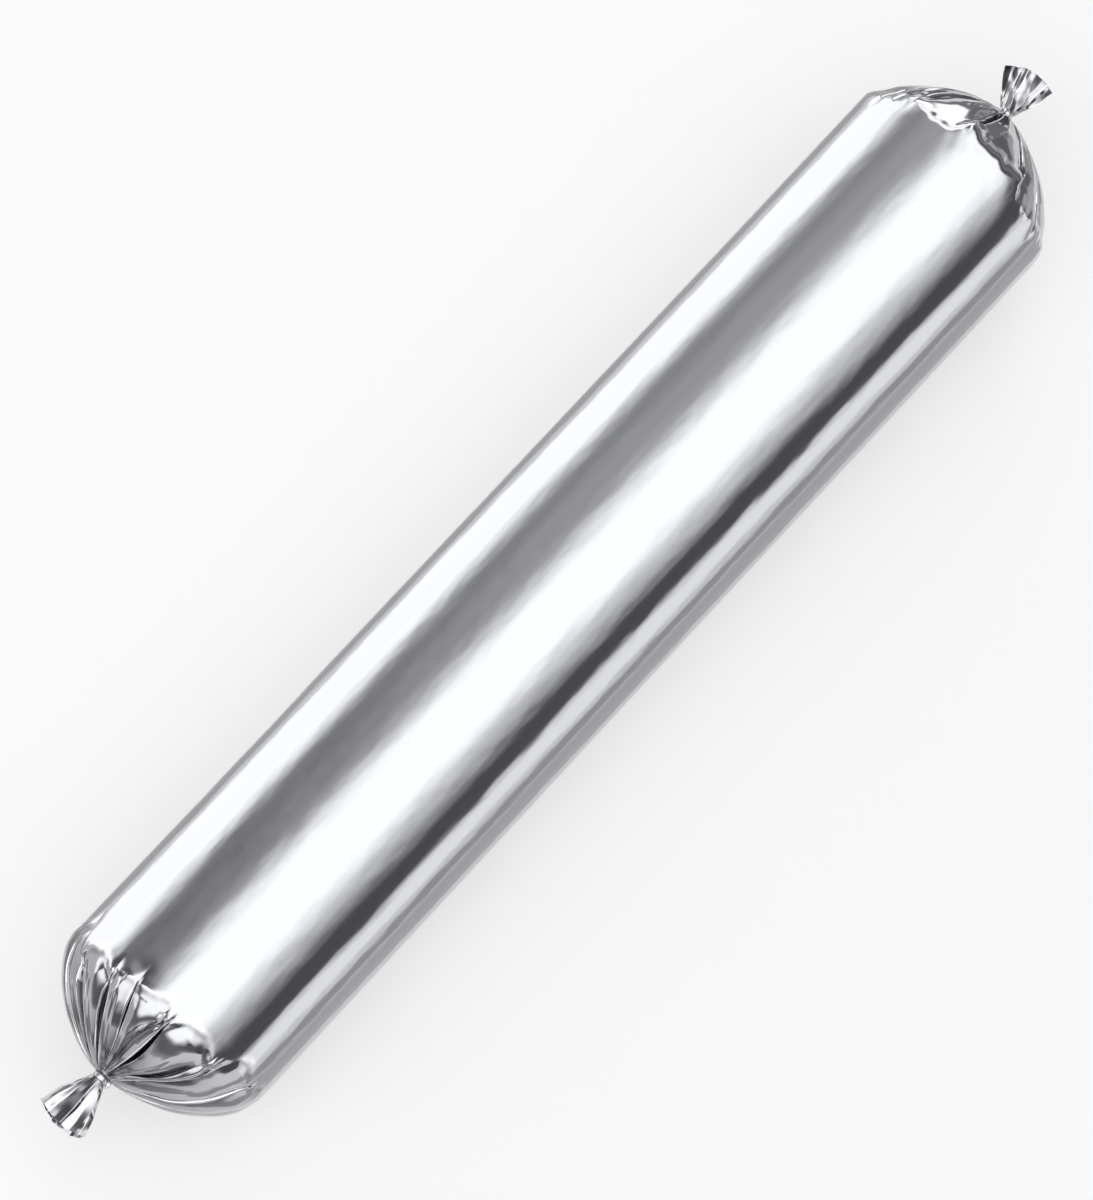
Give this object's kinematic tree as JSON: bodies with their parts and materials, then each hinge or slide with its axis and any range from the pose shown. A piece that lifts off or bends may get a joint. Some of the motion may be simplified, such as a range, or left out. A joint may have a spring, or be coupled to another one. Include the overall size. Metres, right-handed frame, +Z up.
{
  "type": "sealant sausage pack",
  "caption": "Filled foil sausage pack of sealant lying on its side, with gathered round ends, each closed by a slim clip and finished with a short fanned foil tail.",
  "frame": {"origin": "under the middle of the pack, on the surface that it lies on", "axes": "+X along the pack from the near end to the far end, +Z up"},
  "size_m": [0.3012, 0.05, 0.0494],
  "materials": {
    "foil": "satin aluminium foil laminate",
    "clip": "pressed aluminium"
  },
  "bodies": {
    "root": {"foil_pack": "foil", "near_clip": "clip", "far_clip": "clip"}
  },
  "joints": []
}
